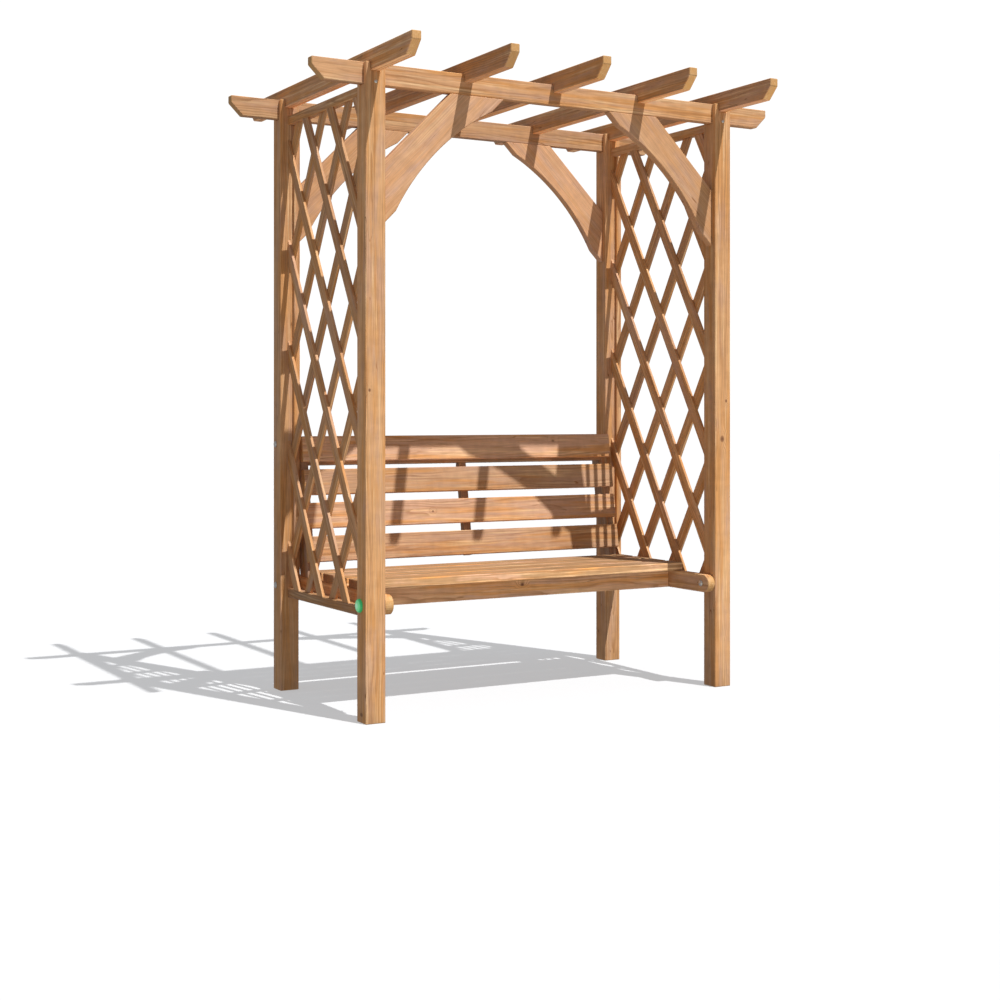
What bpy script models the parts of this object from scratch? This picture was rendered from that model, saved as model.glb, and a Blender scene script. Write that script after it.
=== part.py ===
"""Pergola bench: a slatted garden seat under a timber pergola, with a trellis on each side.

Metres, +Z up. The origin is on the ground, midway between the four posts.
X runs along the bench, and -Y is the side that people sit down from.
"""

import math

import bmesh
import bpy
from mathutils import Matrix

# Clearances and allowances
GAP = 0.0003
OVERRUN = 0.010
LATH_FUSION = 0.0005
WELD = 0.00001
ARRIS = 0.002
FLAT_ANGLE = math.radians(0.5)
ARRIS_ANGLE = math.radians(35)

# Posts
POST_WIDTH = 0.070
POST_HEIGHT = 2.145
POST_SPACING_X = 1.400
POST_SPACING_Y = 0.742

# Beams lie in the post heads, level with their tops
BEAM_THICKNESS = 0.033
BEAM_HEIGHT = 0.070
BEAM_OVERHANG = 0.180
BEAM_END_FACE = 0.026

# Rafters are notched over the beams
RAFTER_COUNT = 5
RAFTER_THICKNESS = 0.033
RAFTER_HEIGHT = 0.070
RAFTER_OVERHANG = 0.299
RAFTER_END_FACE = 0.027
RAFTER_LAP = 0.028
END_CUT_ANGLE = math.radians(45)

# Braces are boards set at 45 degrees, whose inner edge has a long scoop cut out of it
BRACE_THICKNESS = 0.033
BRACE_HEEL = 0.249
BRACE_BOARD_WIDTH = 0.1435
BRACE_SCOOP_LENGTH = 0.509
BRACE_SCOOP_DEPTH = 0.0395
BRACE_ARC_STEPS = 18

# Trellis panels between a front post and a back post
TRELLIS_SETBACK = 0.028
TRELLIS_FOOT = 0.338
TRELLIS_HEAD_GAP = 0.031
TRELLIS_RAIL_HEIGHT = 0.032
TRELLIS_RAIL_THICKNESS = 0.029
LATH_WIDTH = 0.043
LATH_THICKNESS = 0.010
LATH_SPACING = 0.2173
LATH_ANGLE = math.radians(30.8)
BATTEN_WIDTH = 0.012

# Seat
SEAT_HEIGHT = 0.443
SEAT_DEPTH = 0.427
SEAT_TO_BACKREST = 0.004
SEAT_SLAT_COUNT = 4
SEAT_SLAT_GAP = 0.0155
SEAT_SLAT_THICKNESS = 0.030
SEAT_ARRIS = 0.003
SEAT_ARRIS_STEPS = 2
BEARER_HEIGHT = 0.065
BEARER_THICKNESS = 0.030
BEARER_NOSE_STEPS = 14
SEAT_RAIL_THICKNESS = 0.030
SEAT_FRONT_OVERHANG = 0.049
SEAT_BACK_OVERHANG = 0.030

# Backrest
BACKREST_LEAN = math.radians(9.8)
BACKREST_FOOT_REACH = 0.108
BACK_SLAT_COUNT = 4
BACK_SLAT_WIDTH = 0.0925
BACK_SLAT_THICKNESS = 0.026
BACK_SLAT_GAP = 0.0295
BACK_SLAT_LIFT = 0.0290
UPRIGHT_THICKNESS = 0.030
UPRIGHT_DEPTH = 0.072
UPRIGHT_HEAD_DROP = 0.004
BACK_RAIL_HEIGHT = 0.064
BACK_RAIL_THICKNESS = 0.030
BACK_RAIL_SHOW = 0.009
MIDDLE_UPRIGHT_WIDTH = 0.030
MIDDLE_UPRIGHT_DEPTH = 0.030

# Coach bolts through the bearers and uprights, and coach screws in the post heads
BOLT_DIAMETER = 0.008
BOLT_HEAD_DIAMETER = 0.020
BOLT_HEAD_HEIGHT = 0.005
WASHER_DIAMETER = 0.024
WASHER_THICKNESS = 0.0016
NUT_FLATS = 0.013
NUT_HEIGHT = 0.0065
BOLT_TAIL = 0.003
SEAT_BOLT_SETBACK = 0.012
BACK_BOLT_DROP = 0.0125
BACK_BOLT_SHARE = 0.717
SCREW_DIAMETER = 0.006
SCREW_HEAD_DIAMETER = 0.012
SCREW_HEAD_HEIGHT = 0.003
SCREW_LENGTH = 0.060
SCREW_LIFT = 0.007
TURNED_STEPS = 16
DOME_STEPS = 4

# Cap over the front left bolt
CAP_DIAMETER = 0.045
CAP_WALL = 0.002
CAP_RIM_HEIGHT = 0.003
CAP_HEADROOM = 0.004

# Places that follow from the sizes
POST_X = POST_SPACING_X / 2
POST_Y = POST_SPACING_Y / 2
INNER_X = POST_X - POST_WIDTH / 2
INNER_Y = POST_Y - POST_WIDTH / 2
OUTER_X = POST_X + POST_WIDTH / 2
OUTER_Y = POST_Y + POST_WIDTH / 2
BEAM_TOP = POST_HEIGHT
BEAM_BOTTOM = BEAM_TOP - BEAM_HEIGHT
RAFTER_BOTTOM = BEAM_TOP - RAFTER_LAP
TRELLIS_LOW = TRELLIS_FOOT + TRELLIS_RAIL_HEIGHT
TRELLIS_HIGH = RAFTER_BOTTOM - TRELLIS_HEAD_GAP - TRELLIS_RAIL_HEIGHT
BEARER_TOP = SEAT_HEIGHT - SEAT_SLAT_THICKNESS - GAP
BEARER_BOTTOM = BEARER_TOP - BEARER_HEIGHT
BACKREST_Y = INNER_Y - BACKREST_FOOT_REACH
SEAT_BACK_Y = BACKREST_Y - SEAT_TO_BACKREST
SEAT_FRONT_Y = SEAT_BACK_Y - SEAT_DEPTH
SEAT_SLAT_WIDTH = (SEAT_DEPTH - (SEAT_SLAT_COUNT - 1) * SEAT_SLAT_GAP) / SEAT_SLAT_COUNT
CLEAR_LENGTH = 2 * (INNER_X - GAP)
BACK_SLAT_PITCH = BACK_SLAT_WIDTH + BACK_SLAT_GAP
BACK_SLATS_TOP = BACK_SLAT_LIFT + (BACK_SLAT_COUNT - 1) * BACK_SLAT_PITCH + BACK_SLAT_WIDTH
UPRIGHT_FRONT = BACK_SLAT_THICKNESS + GAP
UPRIGHT_BACK = UPRIGHT_FRONT + UPRIGHT_DEPTH
UPRIGHT_HEAD = BACK_SLATS_TOP - UPRIGHT_HEAD_DROP
BACK_RAIL_LOW = BACK_SLATS_TOP - BACK_SLAT_WIDTH - BACK_RAIL_SHOW

# Which way a flat outline is turned to stand in the XZ or the YZ plane
STAND_ALONG_X = (math.pi / 2, 0, 0)
STAND_ALONG_Y = (math.pi / 2, 0, math.pi / 2)

# Which way a turned piece's head points
HEAD_LEFT = (0, -math.pi / 2, 0)
HEAD_FRONT = (math.pi / 2, 0, 0)
HEAD_BACK = (-math.pi / 2, 0, 0)

SIDES = {"left": -1, "right": 1}
ENDS = {"front": -1, "back": 1}


def linear(hex_colour):
    """The linear RGBA of an sRGB colour such as B98A5A."""
    channels = [int(hex_colour[place : place + 2], 16) / 255 for place in (0, 2, 4)]
    bent = [c / 12.92 if c <= 0.04045 else ((c + 0.055) / 1.055) ** 2.4 for c in channels]
    return (*bent, 1)


def make_material(name, hex_colour, roughness, metallic=0):
    material = bpy.data.materials.new(name)
    material.use_nodes = True
    shader = material.node_tree.nodes["Principled BSDF"]
    shader.inputs["Base Color"].default_value = linear(hex_colour)
    shader.inputs["Roughness"].default_value = roughness
    shader.inputs["Metallic"].default_value = metallic
    return material


def make_collection(name):
    collection = bpy.data.collections.new(name)
    bpy.context.scene.collection.children.link(collection)
    return collection


def add_object(name, mesh, collection, material=None, location=(0, 0, 0), rotation=(0, 0, 0)):
    obj = bpy.data.objects.new(name, mesh)
    obj.location = location
    obj.rotation_euler = rotation
    if material:
        mesh.materials.append(material)
    collection.objects.link(obj)
    return obj


def add_box(name, low, high, collection, material=None):
    """A box between two corners, with its origin at its centre."""
    size = [b - a for a, b in zip(low, high)]
    centre = [(a + b) / 2 for a, b in zip(low, high)]
    bm = bmesh.new()
    bmesh.ops.create_cube(bm, size=1)
    bmesh.ops.scale(bm, vec=size, verts=bm.verts)
    mesh = bpy.data.meshes.new(name)
    bm.to_mesh(mesh)
    bm.free()
    return add_object(name, mesh, collection, material, centre)


def add_plate(name, outline, thickness, collection, material, location, rotation):
    """A flat piece cut to an outline, standing where its location and rotation put it."""
    curve = bpy.data.curves.new(name, "CURVE")
    curve.dimensions = "2D"
    curve.fill_mode = "BOTH"
    curve.extrude = thickness / 2
    spline = curve.splines.new("POLY")
    spline.points.add(len(outline) - 1)
    for point, (across, up) in zip(spline.points, outline):
        point.co = (across, up, 0, 1)
    spline.use_cyclic_u = True
    flat = bpy.data.objects.new(name + "_outline", curve)
    bpy.context.scene.collection.objects.link(flat)
    graph = bpy.context.evaluated_depsgraph_get()
    mesh = bpy.data.meshes.new_from_object(flat.evaluated_get(graph))
    bpy.data.objects.remove(flat)
    bm = bmesh.new()
    bm.from_mesh(mesh)
    bmesh.ops.remove_doubles(bm, verts=bm.verts, dist=WELD)
    bmesh.ops.dissolve_limit(bm, angle_limit=FLAT_ANGLE, verts=bm.verts, edges=bm.edges)
    bmesh.ops.recalc_face_normals(bm, faces=bm.faces)
    bm.to_mesh(mesh)
    bm.free()
    mesh.name = name
    return add_object(name, mesh, collection, material, location, rotation)


def add_cylinder(name, radius, depth, collection, location, rotation, sides=TURNED_STEPS):
    bm = bmesh.new()
    bmesh.ops.create_cone(bm, cap_ends=True, segments=sides, radius1=radius, radius2=radius, depth=depth)
    mesh = bpy.data.meshes.new(name)
    bm.to_mesh(mesh)
    bm.free()
    return add_object(name, mesh, collection, None, location, rotation)


def add_turned(name, profile, collection, material, location, rotation):
    """A turned piece: a profile of (radius, height) points, from the top down its outer side."""
    bm = bmesh.new()
    points = [bm.verts.new((radius, 0, height)) for radius, height in profile]
    for upper, lower in zip(points, points[1:]):
        bm.edges.new((upper, lower))
    mesh = bpy.data.meshes.new(name)
    bm.to_mesh(mesh)
    bm.free()
    obj = add_object(name, mesh, collection, material, location, rotation)
    turn = obj.modifiers.new("turn", "SCREW")
    turn.steps = TURNED_STEPS
    turn.render_steps = TURNED_STEPS
    turn.use_merge_vertices = True
    turn.merge_threshold = WELD
    turn.use_smooth_shade = True
    return obj


def make_helper(obj):
    """Keeps a cutter out of the finished piece."""
    obj.hide_render = True
    obj.display_type = "WIRE"
    return obj


def add_boolean(obj, other, operation="DIFFERENCE"):
    boolean = obj.modifiers.new(other.name, "BOOLEAN")
    boolean.operation = operation
    boolean.solver = "EXACT"
    boolean.object = other


def ease_edges(obj, width=ARRIS, steps=1):
    bevel = obj.modifiers.new("eased_edges", "BEVEL")
    bevel.width = width
    bevel.segments = steps
    bevel.limit_method = "ANGLE"
    bevel.angle_limit = ARRIS_ANGLE


def dome(radius, height, base):
    """Profile points of a low dome, from its crown to its edge."""
    angles = [step / DOME_STEPS * math.pi / 2 for step in range(DOME_STEPS)]
    curved = [(radius * math.sin(a), base + height * math.cos(a)) for a in angles]
    return curved + [(radius, base)]


def cut_end_outline(half_length, low, high, end_face, notch_places=(), notch_half=0, notch_top=0):
    """A long bar whose lower corners are cut at an angle, with notches in its lower edge."""
    run = (high - low - end_face) * math.tan(END_CUT_ANGLE)
    outline = [(-half_length, high), (-half_length, low + (high - low - end_face))]
    outline.append((-half_length + run, low))
    for place in notch_places:
        outline.append((place - notch_half, low))
        outline.append((place - notch_half, notch_top))
        outline.append((place + notch_half, notch_top))
        outline.append((place + notch_half, low))
    outline.append((half_length - run, low))
    outline.append((half_length, low + (high - low - end_face)))
    outline.append((half_length, high))
    return outline


def arc_between(start, end, bow, steps):
    """Points on a circular arc from start to end that bows to the left of that line by bow."""
    chord_x = end[0] - start[0]
    chord_y = end[1] - start[1]
    chord = math.hypot(chord_x, chord_y)
    radius = chord * chord / (8 * bow) + bow / 2
    half_angle = math.asin(chord / (2 * radius))
    points = []
    for step in range(steps + 1):
        angle = half_angle * (2 * step / steps - 1)
        along = 1 / 2 + radius * math.sin(angle) / chord
        out = radius * (math.cos(angle) - math.cos(half_angle)) / chord
        points.append((
            start[0] + chord_x * along - chord_y * out,
            start[1] + chord_y * along + chord_x * out,
        ))
    return points


def make_posts(parts, cutters, material):
    """Four posts whose heads are slotted both ways: along X for a beam and along Y for a rafter."""
    slots = {}
    for end, y_side in ENDS.items():
        half = BEAM_THICKNESS / 2 + GAP
        low = (-OUTER_X - OVERRUN, y_side * POST_Y - half, BEAM_BOTTOM - GAP)
        high = (OUTER_X + OVERRUN, y_side * POST_Y + half, POST_HEIGHT + OVERRUN)
        slots[end] = make_helper(add_box("slot_for_beam_" + end, low, high, cutters))
    for side, x_side in SIDES.items():
        half = RAFTER_THICKNESS / 2 + GAP
        low = (x_side * POST_X - half, -OUTER_Y - OVERRUN, RAFTER_BOTTOM - GAP)
        high = (x_side * POST_X + half, OUTER_Y + OVERRUN, POST_HEIGHT + OVERRUN)
        slots[side] = make_helper(add_box("slot_for_rafter_" + side, low, high, cutters))
    posts = {}
    for end, y_side in ENDS.items():
        for side, x_side in SIDES.items():
            low = (x_side * POST_X - POST_WIDTH / 2, y_side * POST_Y - POST_WIDTH / 2, 0)
            high = (x_side * POST_X + POST_WIDTH / 2, y_side * POST_Y + POST_WIDTH / 2, POST_HEIGHT)
            post = add_box("post_" + end + "_" + side, low, high, parts, material)
            add_boolean(post, slots[end])
            add_boolean(post, slots[side])
            ease_edges(post)
            posts[end, side] = post
    return posts


def make_beams(parts, material):
    half_length = OUTER_X + BEAM_OVERHANG
    outline = cut_end_outline(half_length, 0, BEAM_HEIGHT, BEAM_END_FACE)
    beams = {}
    for end, y_side in ENDS.items():
        place = (0, y_side * POST_Y, BEAM_BOTTOM)
        beam = add_plate("beam_" + end, outline, BEAM_THICKNESS, parts, material, place, STAND_ALONG_X)
        ease_edges(beam)
        beams[end] = beam
    return beams


def make_rafters(parts, material):
    half_length = OUTER_Y + RAFTER_OVERHANG
    outline = cut_end_outline(
        half_length,
        0,
        RAFTER_HEIGHT,
        RAFTER_END_FACE,
        notch_places=(-POST_Y, POST_Y),
        notch_half=BEAM_THICKNESS / 2 + GAP,
        notch_top=RAFTER_LAP + GAP,
    )
    pitch = POST_SPACING_X / (RAFTER_COUNT - 1)
    for number in range(RAFTER_COUNT):
        place = (-POST_X + number * pitch, 0, RAFTER_BOTTOM)
        name = "rafter_" + str(number + 1)
        rafter = add_plate(name, outline, RAFTER_THICKNESS, parts, material, place, STAND_ALONG_Y)
        ease_edges(rafter)


def brace_outline():
    """(along the beam, down the post) points, from the corner between the post and the beam."""
    reach = BRACE_HEEL + BRACE_BOARD_WIDTH * math.sqrt(2)
    middle = reach / 2
    half_scoop = BRACE_SCOOP_LENGTH / 2 / math.sqrt(2)
    beam_nose = (middle + half_scoop, middle - half_scoop)
    post_nose = (middle - half_scoop, middle + half_scoop)
    scoop = arc_between(beam_nose, post_nose, BRACE_SCOOP_DEPTH, BRACE_ARC_STEPS)
    return [(0, BRACE_HEEL), (BRACE_HEEL, 0), (reach, 0), *scoop, (0, reach)]


def make_braces(parts, material):
    for end, y_side in ENDS.items():
        for side, x_side in SIDES.items():
            outline = [(-x_side * along, -down) for along, down in brace_outline()]
            place = (x_side * (INNER_X - GAP), y_side * POST_Y, BEAM_BOTTOM - GAP)
            name = "brace_" + end + "_" + side
            brace = add_plate(name, outline, BRACE_THICKNESS, parts, material, place, STAND_ALONG_X)
            ease_edges(brace)


def lath_offsets():
    """Where the laths of one layer cross the middle height of the panel, leaving out those that miss the rest."""
    half_width = INNER_Y - GAP
    half_height = (TRELLIS_HIGH - TRELLIS_LOW) / 2 - GAP
    most = math.ceil((half_width + half_height * math.tan(LATH_ANGLE)) / LATH_SPACING)
    offsets = [(number + 1 / 2) * LATH_SPACING for number in range(-most - 1, most + 1)]
    inside = []
    for offset in offsets:
        for other in offsets:
            across = abs(offset + other) / 2
            up = abs(offset - other) / (2 * math.tan(LATH_ANGLE))
            if across < half_width and up < half_height and offset not in inside:
                inside.append(offset)
    return inside


def add_lath_layer(name, x_front, lean, collection, material=None):
    """All laths of one layer, longer than the panel, leaning one way."""
    length = (TRELLIS_HIGH - TRELLIS_LOW) / math.cos(LATH_ANGLE) + 2 * LATH_WIDTH
    middle = (TRELLIS_HIGH + TRELLIS_LOW) / 2
    bm = bmesh.new()
    for offset in lath_offsets():
        lath = bmesh.ops.create_cube(bm, size=1)["verts"]
        bmesh.ops.scale(bm, vec=(LATH_THICKNESS, LATH_WIDTH, length), verts=lath)
        bmesh.ops.rotate(bm, cent=(0, 0, 0), matrix=Matrix.Rotation(-lean, 3, "X"), verts=lath)
        bmesh.ops.translate(bm, vec=(0, offset, 0), verts=lath)
    mesh = bpy.data.meshes.new(name)
    bm.to_mesh(mesh)
    bm.free()
    return add_object(name, mesh, collection, material, (x_front + LATH_THICKNESS / 2, 0, middle))


def make_trellis(parts, cutters, material):
    """A panel on each side: two rails, a lattice of crossed laths, and a batten on each post behind it."""
    for side, x_side in SIDES.items():
        front_x = x_side * POST_X - POST_WIDTH / 2 + TRELLIS_SETBACK
        lattice_back_x = front_x + 2 * LATH_THICKNESS - LATH_FUSION
        post_inner_x = x_side * POST_X + POST_WIDTH / 2
        reach = INNER_Y - GAP
        for level, low_z in (("bottom", TRELLIS_FOOT), ("top", TRELLIS_HIGH)):
            low = (front_x, -reach, low_z)
            high = (front_x + TRELLIS_RAIL_THICKNESS, reach, low_z + TRELLIS_RAIL_HEIGHT)
            rail = add_box("trellis_" + level + "_rail_" + side, low, high, parts, material)
            ease_edges(rail)
        low = (front_x - OVERRUN, -reach, TRELLIS_LOW + GAP)
        high = (post_inner_x + OVERRUN, reach, TRELLIS_HIGH - GAP)
        opening = make_helper(add_box("trellis_opening_" + side, low, high, cutters))
        lattice = add_lath_layer("trellis_lattice_" + side, front_x, LATH_ANGLE, parts, material)
        second_x = front_x + LATH_THICKNESS - LATH_FUSION
        crossing = add_lath_layer("crossing_laths_" + side, second_x, -LATH_ANGLE, cutters)
        make_helper(crossing)
        add_boolean(crossing, opening, "INTERSECT")
        add_boolean(lattice, opening, "INTERSECT")
        add_boolean(lattice, crossing, "UNION")
        for end, y_side in ENDS.items():
            edges = sorted((y_side * reach, y_side * (reach - BATTEN_WIDTH)))
            low = (lattice_back_x + GAP, edges[0], TRELLIS_LOW + GAP)
            high = (post_inner_x, edges[1], TRELLIS_HIGH - GAP)
            batten = add_box("trellis_batten_" + end + "_" + side, low, high, parts, material)
            ease_edges(batten)


def bearer_outline():
    """(Y, Z) points of a seat bearer with a half-round front end."""
    radius = BEARER_HEIGHT / 2
    outline = [(OUTER_Y, 0), (OUTER_Y, BEARER_HEIGHT)]
    for step in range(BEARER_NOSE_STEPS + 1):
        angle = math.pi / 2 + math.pi * step / BEARER_NOSE_STEPS
        outline.append((-OUTER_Y + radius + radius * math.cos(angle), radius + radius * math.sin(angle)))
    return outline


def make_seat(parts, frame_material, slat_material):
    """Two bearers, two rails and a middle bearer between them, and the slats on top."""
    bearers = {}
    for side, x_side in SIDES.items():
        place = (x_side * (INNER_X - GAP - BEARER_THICKNESS / 2), 0, BEARER_BOTTOM)
        name = "seat_bearer_" + side
        outline = bearer_outline()
        bearer = add_plate(name, outline, BEARER_THICKNESS, parts, frame_material, place, STAND_ALONG_Y)
        ease_edges(bearer)
        bearers[side] = bearer
    rail_reach = INNER_X - GAP - BEARER_THICKNESS - GAP
    front_rail_y = SEAT_FRONT_Y + SEAT_FRONT_OVERHANG
    back_rail_y = SEAT_BACK_Y - SEAT_BACK_OVERHANG - SEAT_RAIL_THICKNESS
    for name, rail_y in (("seat_rail_front", front_rail_y), ("seat_rail_back", back_rail_y)):
        low = (-rail_reach, rail_y, BEARER_BOTTOM)
        high = (rail_reach, rail_y + SEAT_RAIL_THICKNESS, BEARER_TOP)
        ease_edges(add_box(name, low, high, parts, frame_material))
    low = (-BEARER_THICKNESS / 2, front_rail_y + SEAT_RAIL_THICKNESS + GAP, BEARER_BOTTOM)
    high = (BEARER_THICKNESS / 2, back_rail_y - GAP, BEARER_TOP)
    ease_edges(add_box("seat_bearer_middle", low, high, parts, frame_material))
    for number in range(SEAT_SLAT_COUNT):
        front = SEAT_FRONT_Y + number * (SEAT_SLAT_WIDTH + SEAT_SLAT_GAP)
        low = (-CLEAR_LENGTH / 2, front, SEAT_HEIGHT - SEAT_SLAT_THICKNESS)
        high = (CLEAR_LENGTH / 2, front + SEAT_SLAT_WIDTH, SEAT_HEIGHT)
        slat = add_box("seat_slat_" + str(number + 1), low, high, parts, slat_material)
        ease_edges(slat, SEAT_ARRIS, SEAT_ARRIS_STEPS)
    return bearers


def foot_on_bearer(depth):
    """How far below the seat's level, along the backrest, an upright meets the bearers at this depth."""
    drop = BEARER_TOP + GAP - SEAT_HEIGHT
    return (drop + depth * math.sin(BACKREST_LEAN)) / math.cos(BACKREST_LEAN)


def make_backrest(parts, frame_material, slat_material):
    """The leaning back. Its pieces are placed in a leaning frame whose XZ plane is the slats' front."""
    frame = bpy.data.objects.new("backrest_frame", None)
    frame.location = (0, BACKREST_Y, SEAT_HEIGHT)
    frame.rotation_euler = (-BACKREST_LEAN, 0, 0)
    parts.objects.link(frame)
    for number in range(BACK_SLAT_COUNT):
        base = BACK_SLAT_LIFT + number * BACK_SLAT_PITCH
        low = (-CLEAR_LENGTH / 2, 0, base)
        high = (CLEAR_LENGTH / 2, BACK_SLAT_THICKNESS, base + BACK_SLAT_WIDTH)
        slat = add_box("back_slat_" + str(number + 1), low, high, parts, slat_material)
        slat.parent = frame
        ease_edges(slat)
    outline = [
        (UPRIGHT_FRONT, foot_on_bearer(UPRIGHT_FRONT)),
        (UPRIGHT_BACK, foot_on_bearer(UPRIGHT_BACK)),
        (UPRIGHT_BACK, UPRIGHT_HEAD),
        (UPRIGHT_FRONT, UPRIGHT_HEAD),
    ]
    uprights = {}
    for side, x_side in SIDES.items():
        place = (x_side * (INNER_X - GAP - UPRIGHT_THICKNESS / 2), 0, 0)
        name = "back_upright_" + side
        upright = add_plate(name, outline, UPRIGHT_THICKNESS, parts, frame_material, place, STAND_ALONG_Y)
        upright.parent = frame
        ease_edges(upright)
        uprights[side] = upright
    reach = INNER_X - GAP - UPRIGHT_THICKNESS - GAP
    low = (-reach, UPRIGHT_FRONT, BACK_RAIL_LOW)
    high = (reach, UPRIGHT_FRONT + BACK_RAIL_THICKNESS, BACK_RAIL_LOW + BACK_RAIL_HEIGHT)
    rail = add_box("back_rail_top", low, high, parts, frame_material)
    low = (-MIDDLE_UPRIGHT_WIDTH / 2, UPRIGHT_FRONT, BACK_SLAT_LIFT)
    high = (MIDDLE_UPRIGHT_WIDTH / 2, UPRIGHT_FRONT + MIDDLE_UPRIGHT_DEPTH, BACK_RAIL_LOW - GAP)
    middle = add_box("back_upright_middle", low, high, parts, frame_material)
    for piece in (rail, middle):
        piece.parent = frame
        ease_edges(piece)
    return uprights


def bolt_profile(grip):
    """A coach bolt from its domed head to its tail, with a washer at each end of the grip."""
    shank = BOLT_DIAMETER / 2
    washer = WASHER_DIAMETER / 2
    return [
        *dome(BOLT_HEAD_DIAMETER / 2, BOLT_HEAD_HEIGHT, WASHER_THICKNESS + GAP),
        (washer, WASHER_THICKNESS + GAP),
        (washer, GAP),
        (shank, GAP),
        (shank, -grip - GAP),
        (washer, -grip - GAP),
        (washer, -grip - GAP - WASHER_THICKNESS),
        (shank, -grip - GAP - WASHER_THICKNESS),
        (shank, -grip - GAP - WASHER_THICKNESS - NUT_HEIGHT - BOLT_TAIL),
        (0, -grip - GAP - WASHER_THICKNESS - NUT_HEIGHT - BOLT_TAIL),
    ]


def add_bolt(name, x_head, y, z, grip, pieces, parts, cutters, material):
    """A bolt along X with its head on the left, and its bore through each piece that it holds."""
    place = (x_head, y, z)
    bolt = add_turned(name, bolt_profile(grip), parts, material, place, HEAD_LEFT)
    nut_x = x_head + grip + GAP + WASHER_THICKNESS + NUT_HEIGHT / 2
    corner = NUT_FLATS / 2 / math.cos(math.pi / 6)
    depth = NUT_HEIGHT + WASHER_THICKNESS
    nut_place = (nut_x - WASHER_THICKNESS / 2, y, z)
    nut = add_cylinder("nut_of_" + name, corner, depth, cutters, nut_place, HEAD_LEFT, 6)
    add_boolean(bolt, make_helper(nut), "UNION")
    bore_place = (x_head + grip / 2, y, z)
    radius = BOLT_DIAMETER / 2 + GAP
    bore = add_cylinder("bore_of_" + name, radius, grip + 2 * OVERRUN, cutters, bore_place, HEAD_LEFT)
    make_helper(bore)
    for piece in pieces:
        add_boolean(piece, bore)


def back_bolt_place():
    """(Y, Z) of the back bolts, a little below the uprights' heads and where these cross the back posts."""
    rise = UPRIGHT_HEAD - BACK_BOLT_DROP
    upright_back_y = BACKREST_Y + UPRIGHT_BACK * math.cos(BACKREST_LEAN) + rise * math.sin(BACKREST_LEAN)
    y = INNER_Y + BACK_BOLT_SHARE * (upright_back_y - INNER_Y)
    z = SEAT_HEIGHT + (rise - (y - BACKREST_Y) * math.sin(BACKREST_LEAN)) / math.cos(BACKREST_LEAN)
    return y, z


def make_bolts(posts, bearers, uprights, parts, cutters, material):
    """Bolts whose heads are on the left of each pair of pieces that they hold."""
    seat_grip = POST_WIDTH + GAP + BEARER_THICKNESS
    seat_z = BEARER_BOTTOM + BEARER_HEIGHT / 2
    back_grip = POST_WIDTH + GAP + UPRIGHT_THICKNESS
    back_y, back_z = back_bolt_place()
    for side in SIDES:
        seat_head_x = -OUTER_X if side == "left" else INNER_X - GAP - BEARER_THICKNESS
        back_head_x = -OUTER_X if side == "left" else INNER_X - GAP - UPRIGHT_THICKNESS
        for end, y_side in ENDS.items():
            pieces = (posts[end, side], bearers[side])
            y = y_side * POST_Y + SEAT_BOLT_SETBACK
            name = "seat_bolt_" + end + "_" + side
            add_bolt(name, seat_head_x, y, seat_z, seat_grip, pieces, parts, cutters, material)
        pieces = (posts["back", side], uprights[side])
        name = "back_bolt_" + side
        add_bolt(name, back_head_x, back_y, back_z, back_grip, pieces, parts, cutters, material)


def make_beam_screws(posts, beams, parts, cutters, material):
    """A coach screw in the outer face of each post head, through the beam."""
    shank = SCREW_DIAMETER / 2
    profile = [
        *dome(SCREW_HEAD_DIAMETER / 2, SCREW_HEAD_HEIGHT, GAP),
        (shank, GAP),
        (shank, -SCREW_LENGTH),
        (0, -SCREW_LENGTH),
    ]
    for (end, side), post in posts.items():
        x = SIDES[side] * POST_X
        y = ENDS[end] * OUTER_Y
        z = BEAM_BOTTOM + SCREW_LIFT
        turn = HEAD_FRONT if end == "front" else HEAD_BACK
        name = "beam_screw_" + end + "_" + side
        add_turned(name, profile, parts, material, (x, y, z), turn)
        depth = SCREW_LENGTH + GAP + OVERRUN
        bore_y = ENDS[end] * (OUTER_Y + OVERRUN - depth / 2)
        bore = add_cylinder("bore_of_" + name, shank + GAP, depth, cutters, (x, bore_y, z), turn)
        make_helper(bore)
        add_boolean(post, bore)
        add_boolean(beams[end], bore)


def make_cap(parts, material):
    """The round cap over the front left bolt head: a domed cup, open towards the post."""
    inner_height = GAP + WASHER_THICKNESS + BOLT_HEAD_HEIGHT + CAP_HEADROOM
    inner_radius = CAP_DIAMETER / 2 - CAP_WALL
    outer = dome(CAP_DIAMETER / 2, inner_height + CAP_WALL - CAP_RIM_HEIGHT, GAP + CAP_RIM_HEIGHT)
    inner = dome(inner_radius, inner_height - CAP_RIM_HEIGHT, GAP + CAP_RIM_HEIGHT)
    rim = [(CAP_DIAMETER / 2, GAP), (inner_radius, GAP)]
    profile = [*outer, *rim, *reversed(inner)]
    place = (-OUTER_X, -POST_Y + SEAT_BOLT_SETBACK, BEARER_BOTTOM + BEARER_HEIGHT / 2)
    add_turned("bolt_cap", profile, parts, material, place, HEAD_LEFT)


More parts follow.
